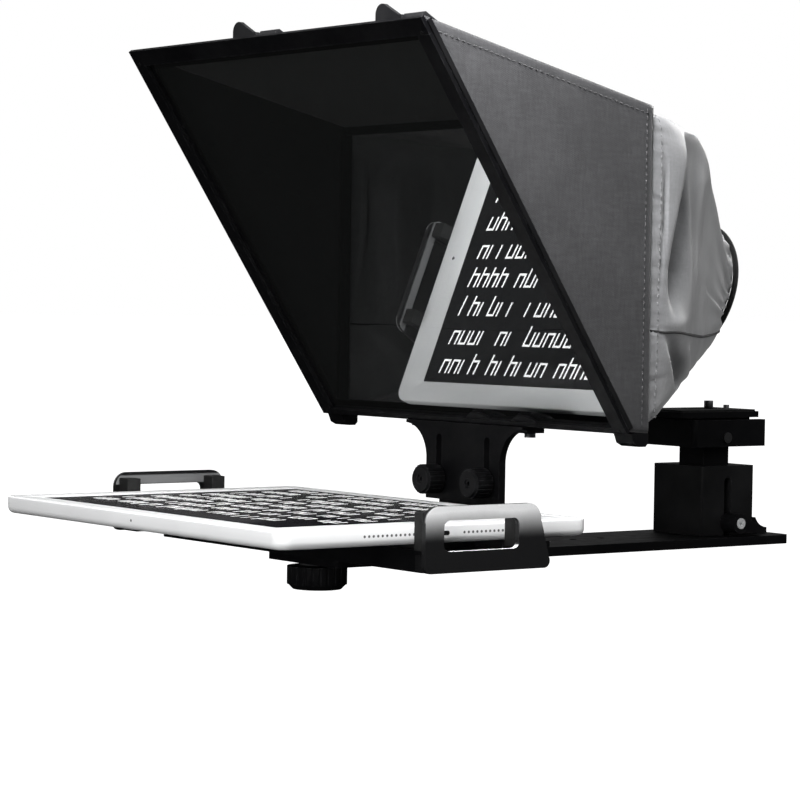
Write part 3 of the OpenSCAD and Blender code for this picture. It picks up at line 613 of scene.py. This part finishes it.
def sheet_mesh(quad, outward, across, down, puff, thickness=0.002, ripple=0.0006):
    """Stiffened cloth panel: a puffed outer face, an inner face and turned edges."""
    puff_onset, ripple_onset, turn_onset = 9, 12, 90  # how soon each sets in or ends, going in from the edge
    turn_depth, ripple_scale = 0.0007, (5, 16, 16)
    bm = bmesh.new()
    outer, inner = [], []
    for j in range(down + 1):
        v = j / down
        for i in range(across + 1):
            u = i / across
            p = quad_point(quad, u, v)
            edge = min(u, 1 - u, v, 1 - v)
            dome = min(1.0, edge * puff_onset) ** 0.6
            x, y, z = (a * b for a, b in zip(p, ripple_scale))
            wave = noise.noise(Vector((y, z, x))) * ripple * min(1.0, edge * ripple_onset)
            turned = turn_depth * max(0.0, 1 - edge * turn_onset)
            outer.append(bm.verts.new(p + outward * (puff * dome + wave - turned)))
            inner.append(bm.verts.new(p - outward * (thickness - wave * 0.5 - turned)))
    row = across + 1
    for j in range(down):
        for i in range(across):
            k = j * row + i
            bm.faces.new((outer[k], outer[k + 1], outer[k + 1 + row], outer[k + row]))
            bm.faces.new((inner[k], inner[k + row], inner[k + 1 + row], inner[k + 1]))
    rim = list(range(across)) + [j * row + across for j in range(down)]
    rim += [down * row + across - i for i in range(across)] + [(down - j) * row for j in range(down)]
    for a, b in zip(rim, rim[1:] + rim[:1]):
        bm.faces.new((outer[a], inner[a], inner[b], outer[b]))
    bm.normal_update()
    return bm


def outline_of(node):
    """The four corners of a hood side panel in Y and Z: front top, rear top, rear bottom, front bottom."""
    points = {(round(v.co.y, 5), round(v.co.z, 5)) for v in NODES[node].data.vertices}
    top = max(points, key=lambda p: p[1])
    rear = sorted((p for p in points if abs(p[0] - max(q[0] for q in points)) < 1e-4), key=lambda p: p[1])
    front = [p for p in points if p != top and p not in rear]
    return top, rear[-1], rear[0], front[0]


def side_face(side):
    """X of the outer face of a hood side panel."""
    low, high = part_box("hood_right_panel" if side > 0 else "hood_left_panel")
    return high.x if side > 0 else low.x


def hem_line(start, end, steps, inset, out, lift, first=1):
    """Points of a row of stitches between two corners, drawn in from the edge and lifted off the cloth."""
    return [start.lerp(end, k / steps) + inset + out * lift for k in range(first, steps)]


def make_hood_sides():
    """Two cloth-covered side panels with turned edges and stitched hems."""
    outline = outline_of("hood_right_panel")
    for word, side in SIDES:
        out = Vector((side, 0, 0))
        quad = [Vector((side_face(side), *p)) for p in outline]
        panel = sheet_mesh(quad, out, 72, 96, 0.0005)
        piece = new_piece(f"hood_{word}_cover", panel, "glass_head", MATERIALS["hood_cloth"],
                          replaces=[f"hood_{word}_panel"])
        for row, line in (
                ("hem", hem_line(quad[1], quad[2], 60, Vector((0, -HEM, 0)), out, 0.0006)),
                ("top", hem_line(quad[0], quad[1], 60, Vector((0, 0, -HEM)), out, 0.0006, first=4))):
            stitches(f"hood_{row}_stitches_{word}", line, lambda at, o=out: o, THREAD)


def make_hood_top():
    """The cloth-covered top panel with its stitched rear hem."""
    top, rear_top = outline_of("hood_right_panel")[:2]
    low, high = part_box("hood_top_panel")
    quad = [Vector((x, *p)) for x, p in ((low.x, top), (high.x, top), (high.x, rear_top), (low.x, rear_top))]
    back = quad[2] - quad[1]
    out = Vector((1, 0, 0)).cross(back).normalized()
    piece = new_piece("hood_top_cover", sheet_mesh(quad, out, 96, 64, 0.0004), "glass_head",
                      MATERIALS["hood_cloth"], replaces=["hood_top_panel"])
    line = hem_line(quad[3], quad[2], 80, -back.normalized() * HEM, out, 0.0005)
    stitches("hood_hem_stitches_top", line, lambda at: out, THREAD)


def make_hood_trim():
    """Black edging along the front of both side panels, and the light seal above the rear rim."""
    top, _, _, front_low = [Vector((0, *p)) for p in outline_of("hood_right_panel")]
    top_gap, low_gap, start_in, end_in = 0.0035, 0.001, 0.0002, 0.0034
    sunk, proud = 0.0006, 0.0009
    down = (front_low - top).normalized()
    back = Vector((0, -down.z, down.y))
    near, far = back * start_in, back * end_in
    start, end = top + down * top_gap, front_low - down * low_gap
    edge = [start + near, start + far, end + far, end + near]
    for word, side in SIDES:
        x = side_face(side)
        bm = bmesh.new()
        add_bar(bm, [(p.y, p.z) for p in edge], x - side * sunk, x + side * proud)
        trim = new_piece(f"hood_edging_{word}", bm, "glass_head",
                         MATERIALS["frame_plastic"], smooth=False)
        soften(trim, 0.0003)

    low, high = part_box("hood_rear_rim")
    front, rear, foot, end_gap = high.y - 0.006, high.y - 0.0008, high.z - 0.0003, 0.0004
    bm = bmesh.new()
    add_bar(bm, [(front, foot), (rear, foot), (rear, high.z + 0.0012), (front, high.z + 0.0022)],
            low.x + end_gap, high.x - end_gap)
    new_piece("hood_light_seal", bm, "glass_head", MATERIALS["rubber"], smooth=False)


# ---------------------------------------------------------------- sleeve
MOUTH = Vector((0, 0.119, 0.169))
MOUTH_R = 0.0478
MOUTH_LEAN = math.radians(18)
SLEEVE_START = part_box("camera_sleeve")[0].y
# Lines of the near half from the top's middle round to the bottom's. Each has the angle at which it meets the
# mouth, then points in mm: X and Z at the three shared places next to the hood, and X, Y and Z of four more.
SHARED_Y = (-47, -33, -17)
SLEEVE_LINES = (
    (90, (0, 275), (0, 275), (0, 273), (0, 2, 270), (0, 28, 264), (0, 65, 248), (0, 104, 229)),
    (60, (70, 275), (70, 275), (69, 273), (66, 2, 270), (58, 28, 264), (44, 66, 246), (30, 106, 225)),
    (35, (140, 275), (133, 275), (125, 273), (117, 2, 269), (104, 30, 264), (83, 66, 228), (62, 100, 198)),
    (12, (150, 272), (146, 272), (138, 270), (127, 4, 266), (110, 32, 262), (86, 70, 222), (65, 101, 186)),
    (4, (152, 262), (151, 260), (147, 256), (134, 4, 250), (113, 27, 247), (89, 64, 212), (66, 98, 179)),
    (-6, (152, 225), (152, 222), (149, 218), (137, 3, 214), (115, 21, 211), (93, 57, 195), (68, 95, 169)),
    (-16, (152, 184), (152, 182), (149, 180), (138, 1, 178), (118, 19, 176), (95, 53, 170), (69, 92, 158)),
    (-28, (152, 145), (151, 144), (147, 144), (136, 0, 143), (119, 20, 142), (93, 54, 141), (60, 99, 144)),
    (-42, (152, 115), (149, 117), (143, 120), (133, 0, 124), (116, 20, 128), (90, 54, 132), (58, 92, 134)),
    (-56, (151, 90), (146, 95), (138, 101), (128, 0, 107), (110, 20, 114), (83, 54, 123), (52, 90, 129)),
    (-72, (136, 89), (128, 93), (118, 98), (106, 0, 104), (88, 22, 111), (63, 56, 119), (36, 88, 125)),
    (-90, (0, 89), (0, 93), (0, 98), (0, 0, 104), (0, 24, 110), (0, 58, 116), (0, 86, 121)),
)
SEAM_LINE = 7  # the line that the seam follows, counted from 0
# How far along the sleeve each of a line's points lies, from 0 at the hood to 1 at the mouth.
SLEEVE_STATIONS = (0.0, 0.07, 0.16, 0.27, 0.43, 0.66, 0.87, 1.0)


def ramp(value, start, end):
    """0 before start and 1 past end, even in between; start may be the greater."""
    return min(1.0, max(0.0, (value - start) / (end - start)))


def eased(points, knots, t):
    """Smooth curve through points at uneven knots."""
    k = min(max(i for i in range(1, len(knots) - 2) if knots[i] <= t + 1e-9), len(knots) - 3)
    t0, t1, t2, t3 = knots[k - 1:k + 3]
    p0, p1, p2, p3 = points[k - 1:k + 3]
    run = t2 - t1
    leave = ((p1 - p0) / (t1 - t0) * run + (p2 - p1) / run * (t1 - t0)) / (t2 - t0) * run
    arrive = ((p2 - p1) / run * (t3 - t2) + (p3 - p2) / (t3 - t2) * run) / (t3 - t1) * run
    u = (t - t1) / run
    return (p1 * (2 * u ** 3 - 3 * u ** 2 + 1) + leave * (u ** 3 - 2 * u ** 2 + u)
            + p2 * (3 * u ** 2 - 2 * u ** 3) + arrive * (u ** 3 - u ** 2))


def mouth_point(angle):
    """Point of the leaning mouth ring; the angle runs from near side to top."""
    h = MOUTH_R * math.sin(angle)
    return MOUTH + Vector((MOUTH_R * math.cos(angle), h * math.sin(MOUTH_LEAN), h * math.cos(MOUTH_LEAN)))


def mirrored(point):
    """The same point on the far side."""
    return Vector((-point.x, point.y, point.z))


def sleeve_line(angle, *given):
    """One line's points from the hood's rim to the mouth."""
    shared = len(SHARED_Y)
    points = [(x, y, z) for y, (x, z) in zip(SHARED_Y, given)] + list(given[shared:])
    return [Vector(p) * MM for p in points] + [mouth_point(math.radians(angle))]


def sleeve_columns(around):
    """Lines of the whole sleeve, evenly spread round it, and which of them are the two seams."""
    lines = [sleeve_line(*line) for line in SLEEVE_LINES]
    lines += [[mirrored(p) for p in line] for line in reversed(lines[1:-1])]
    count = len(lines)
    gaps = [sum((lines[(i + 1) % count][k] - lines[i][k]).length for k in (0, 3, 5)) ** 0.7
            for i in range(count)]
    knots = [sum(gaps[:i]) for i in range(count + 1)]
    total = knots[-1]
    padded = [knots[i] - total for i in (-3, -2)] + knots + [total + knots[1], total + knots[2]]
    order = [count - 2, count - 1] + list(range(count)) + [0, 1, 2]
    marks = sorted({round(total * i / around, 7) for i in range(around)} | {round(k, 7) for k in knots[:-1]})
    columns = [[eased([lines[i][k] for i in order], padded, t) for k in range(len(SLEEVE_STATIONS))]
               for t in marks]
    return columns, [marks.index(round(knots[i], 7)) for i in (SEAM_LINE, count - SEAM_LINE)]


def sleeve_grid(columns, along):
    """Plain form of the sleeve: one list of points per step from the hood to the mouth."""
    knots = [-SLEEVE_STATIONS[1], *SLEEVE_STATIONS, 2 - SLEEVE_STATIONS[-2]]
    round_from = 0.84  # from here on the cloth draws in to the round mouth
    grid = []
    for j in range(along + 1):
        share = j / along
        row = []
        for column in columns:
            points = [column[0] * 2 - column[1]] + column + [column[-1] * 2 - column[-2]]
            p = eased(points, knots, share)
            arm = p - MOUTH
            h = arm.y * math.sin(MOUTH_LEAN) + arm.z * math.cos(MOUTH_LEAN)
            ring = mouth_point(math.atan2(h, arm.x))
            row.append(p.lerp(ring, ramp(share, round_from, 1.0) ** 3))
        grid.append(row)
    return grid


def bell(x, middle, width):
    """Smooth hump, 1 in its middle."""
    return math.exp(-((x - middle) / width) ** 2)


def dent(x, deepest, before, after):
    """Bell with a steep side before its middle and an easy one after it."""
    return bell(x, deepest, before if x < deepest else after)


def wander(p, shift, per_metre):
    """Noise round 0 with its own scale along each axis."""
    return noise.noise(Vector([a * b for a, b in zip(p, per_metre)]) + shift)


def side_folds(p, flank, side):
    """The big pleat of each flank: a deep valley behind the hood, its ridge, and the fold under the seam."""
    valley_depth, ridge_height, low_valley_depth, low_ridge_height, crease_depth = (
        0.0145, 0.0035, 0.007, 0.0025, 0.0032)
    above_seam, under_seam = ramp(p.z, 0.15, 0.18), ramp(p.z, 0.146, 0.126)
    lean = p.y - 0.12 * (p.z - 0.2) + 0.006 * math.sin(p.z * 38 + side)
    slope = p.y + 0.9 * (p.z - 0.125)
    crease_y = SLEEVE_START + 0.009 + 0.0035 * math.sin((p.z - 0.17) * 30)
    valley = valley_depth * dent(lean, -0.010, 0.0075, 0.020) * above_seam
    ridge = ridge_height * bell(lean, 0.026, 0.014) * above_seam
    low_valley = low_valley_depth * dent(slope, -0.012, 0.005, 0.012) * under_seam
    low_ridge = low_ridge_height * bell(slope, 0.012, 0.010) * under_seam
    crease = crease_depth * bell(p.y, crease_y, 0.0011) * bell(p.z, 0.215, 0.036)
    return (ridge - valley + low_ridge - low_valley - crease) * flank


def sleeve_fold(share, around, p, n):
    """How far the cloth stands out from its plain form; share runs from hood to mouth, around round it."""
    lump_height, fine_lump_height, pucker_height, gather_height = 0.0022, 0.0006, 0.0007, 0.0017
    side = 1 if p.x > 0 else -1
    shift = Vector((3, 1, 7)) if side > 0 else Vector((11, 5, 2))
    flank = ramp(abs(n.x), 0.45, 0.75) * ramp(share, 0.94, 0.74) * ramp(p.z, 0.268, 0.238)
    free = math.sin(math.pi * min(1.0, share * 1.02)) ** 0.5
    at_hood = math.exp(-share / 0.04) * min(1, share * 60)
    at_mouth = math.exp(-(1 - share) / 0.09) * min(1, (1 - share) * 25)
    lumps = wander(p, shift, (22, 17, 13)) * lump_height + wander(p, shift, (60, 60, 22)) * fine_lump_height
    pucker = pucker_height * math.sin(around * 590 + 3 * math.sin(around * 60))
    gather = gather_height * math.sin(around * 190 + 1.5 * math.sin(around * 47))
    return lumps * free + side_folds(p, flank, side) + pucker * at_hood + gather * at_mouth


def fold_cloth(grid):
    """The grid with its folds, and the outward direction at each of its points."""
    steps, count, middle_z = len(grid) - 1, len(grid[0]), 0.175
    shaped, normals = [], []
    for j, row in enumerate(grid):
        below, above = grid[max(0, j - 1)], grid[min(steps, j + 1)]
        outward = []
        for i, p in enumerate(row):
            n = (row[(i + 1) % count] - row[i - 1]).cross(above[i] - below[i]).normalized()
            outward.append(n if n.dot(Vector((p.x, 0, p.z - middle_z))) > 0 else -n)
        normals.append(outward)
        shaped.append([p + n * sleeve_fold(j / steps, i / count, p, n)
                       for i, (p, n) in enumerate(zip(row, outward))])
    return shaped, normals


def make_sleeve():
    """Grey cloth sleeve with its pleats, seams, stitches and gathered mouth."""
    girth, length, cloth_t = 0.98, 0.235, 0.0006
    steps_round, steps_along, hem_step, hem_middle_z = 300, 96, 4, 0.18
    columns, seams = sleeve_columns(steps_round)
    shaped, normals = fold_cloth(sleeve_grid(columns, steps_along))
    bm = bmesh.new()
    rings = [loop_of(bm, row) for row in shaped]
    for a, b in zip(rings, rings[1:]):
        bridge(bm, a, b)
    area = sum(f.calc_area() for f in bm.faces)
    sleeve = new_piece("sleeve", bm, "glass_head", MATERIALS["sleeve_cloth"],
                       replaces=["camera_sleeve"])
    thick = sleeve.modifiers.new("thickness", "SOLIDIFY")
    thick.thickness = cloth_t
    thick.offset = -1
    for (word, _), i in zip(SIDES, seams):
        make_seam(word, [(shaped[j][i], normals[j][i]) for j in range(1, int(steps_along * 0.95))])
    hem = [p + n * 0.0002 for p, n in zip(shaped[hem_step], normals[hem_step])]
    stitches("sleeve_stitches", hem, lambda at: Vector((at.x, 0, at.z - hem_middle_z)).normalized(),
             PALE_THREAD, 0.0046, 0.0028)


def make_seam(word, line):
    """Dark seam that runs level along one side of the sleeve to its mouth."""
    bm = bmesh.new()
    half_height, flatness = 0.0009, 0.7
    tube(bm, [ring_round(bm, p, n * flatness, Vector((0, 0, 1)), half_height, 8) for p, n in line])
    new_piece(f"sleeve_seam_{word}", bm, "glass_head", SEAM_DARK)


# ---------------------------------------------------------------- CAD nodes
ROUNDING = {  # width of the rounded edges of the larger pieces
    "base_rail": 0.0006, "clamp_near": 0.0011, "clamp_far": 0.0011, "riser_block": 0.0006,
    "tray_arm": 0.001, "qr_clamp": 0.0006, "riser_post": 0.0005, "qr_plate": 0.0004,
}
SMALL_ROUNDING = 0.0003


def dress_nodes():
    """Gives every shown CAD node its material and rounds its edges."""
    for name, obj in NODES.items():
        obj.data.materials.clear()
        obj.data.materials.append(MATERIALS[SLOT_OF[name]])
        if not obj.hide_render:
            soften(obj, ROUNDING.get(name, SMALL_ROUNDING))


# ---------------------------------------------------------------- stage
def make_floor():
    """Pale, faintly glowing floor that the camera sees and that lights nothing."""
    half_size, floor_z = 60.0, CAD_LOW.z - 0.30
    bm = bmesh.new()
    corners = ((-1, -1), (1, -1), (1, 1), (-1, 1))
    bm.faces.new(loop_of(bm, [(x * half_size, y * half_size, floor_z) for x, y in corners]))
    mesh = bpy.data.meshes.new("floor")
    bm.to_mesh(mesh)
    bm.free()
    floor = put_in_scene("floor", mesh)
    t = Tree("pale_floor")
    t.look(base_color=t.mix(t.noise(2, 2), grey(0.9), grey(0.87)), specular_IOR_level=0.1,
           emission_color=(1, 1, 1), emission_strength=0.95)
    t.rough(t.noise(6, 2), 0.7, 0.8)
    floor.data.materials.append(t.material)
    floor.visible_glossy = False
    floor.visible_diffuse = False


def make_world():
    """White to the camera; to everything else a soft sky that is brightest overhead."""
    world = bpy.data.worlds.new("studio")
    bpy.context.scene.world = world
    world.use_nodes = True
    nodes, links = world.node_tree.nodes, world.node_tree.links
    coords = nodes.new("ShaderNodeTexCoord")
    split = nodes.new("ShaderNodeSeparateXYZ")
    ramp_node = nodes.new("ShaderNodeMapRange")
    links.new(coords.outputs["Generated"], split.inputs[0])
    links.new(split.outputs["Z"], ramp_node.inputs["Value"])
    for key, value in (("From Min", -0.05), ("From Max", 0.6), ("To Min", 0.02), ("To Max", 1.0)):
        ramp_node.inputs[key].default_value = value
    sky = nodes["Background"]
    links.new(ramp_node.outputs[0], sky.inputs["Color"])
    sky.inputs["Strength"].default_value = 0.3
    backdrop = nodes.new("ShaderNodeBackground")
    backdrop.inputs["Strength"].default_value = 1.0
    backdrop.inputs["Color"].default_value = (1, 1, 1, 1)
    seen = nodes.new("ShaderNodeLightPath")
    mix = nodes.new("ShaderNodeMixShader")
    for output, socket in ((seen.outputs["Is Camera Ray"], mix.inputs[0]), (sky.outputs[0], mix.inputs[1]),
                           (backdrop.outputs[0], mix.inputs[2]),
                           (mix.outputs[0], nodes["World Output"].inputs["Surface"])):
        links.new(output, socket)


LIGHTS = (  # name, place, aim, width and height, power
    ("top_light", (0.30, -0.27, 0.52), (0.15, -0.21, 0.26), (0.12, 0.3), 6.0),
    ("front_light", (0.62, -1.2, 0.02), (0.03, -0.28, 0.0), (0.5, 0.5), 8.5),
    ("tray_light", (0.1, -0.95, 0.75), (0, -0.25, 0.03), (0.5, 0.5), 4.8),
    ("side_light", (1.7, -0.45, 0.8), (0.1, 0.05, 0.15), (0.6, 0.6), 4),
    ("back_light", (0.25, 1.6, 0.55), (0.05, 0.1, 0.18), (0.5, 0.5), 13),
    ("far_light", (-1.3, 1.1, 0.9), (-0.05, 0.0, 0.15), (0.8, 0.8), 16),
)


def make_lights():
    """Softboxes that no mirror or camera sees."""
    for name, place, aim, size, watts in LIGHTS:
        data = bpy.data.lights.new(name, "AREA")
        data.shape = "RECTANGLE"
        data.size, data.size_y = size
        data.energy = watts
        light = put_in_scene(name, data)
        light.location = place
        light.rotation_euler = (Vector(aim) - Vector(place)).to_track_quat("-Z", "Y").to_euler()
        light.visible_camera = False
        light.visible_glossy = False


def make_camera():
    """The photo's view: a long lens nearly level with the tablet, turned a little clockwise."""
    azimuth, elevation, roll = (math.radians(a) for a in (53.02, 2.01, 0.88))
    distance, shift_right, shift_up = 1.690, 0.0684, 0.0644
    tablet_low, tablet_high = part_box("tablet_shell")
    target = Vector((0, (tablet_low.y + tablet_high.y) / 2, tablet_high.z))
    back = Vector((math.sin(azimuth) * math.cos(elevation), -math.cos(azimuth) * math.cos(elevation),
                   math.sin(elevation)))
    level_right = (-back).cross(Vector((0, 0, 1))).normalized()
    level_up = level_right.cross(-back)
    right = level_right * math.cos(roll) + level_up * math.sin(roll)
    up = level_up * math.cos(roll) - level_right * math.sin(roll)
    data = bpy.data.cameras.new("camera")
    data.sensor_width = 36
    data.lens = 125.54
    data.clip_start, data.clip_end = 0.05, 200
    camera = put_in_scene("camera", data)
    place = target + back * distance + right * shift_right + up * shift_up
    camera.matrix_world = Matrix.Translation(place) @ Matrix((right, up, back)).transposed().to_4x4()
    bpy.context.scene.camera = camera
    bpy.context.scene.view_settings.view_transform = "Standard"


make_floor()
make_world()
make_lights()
make_camera()
make_tablet_body()
make_tablet_openings()
make_display_text()
make_glass()
make_hood_sides()
make_hood_top()
make_hood_trim()
make_sleeve()
dress_nodes()
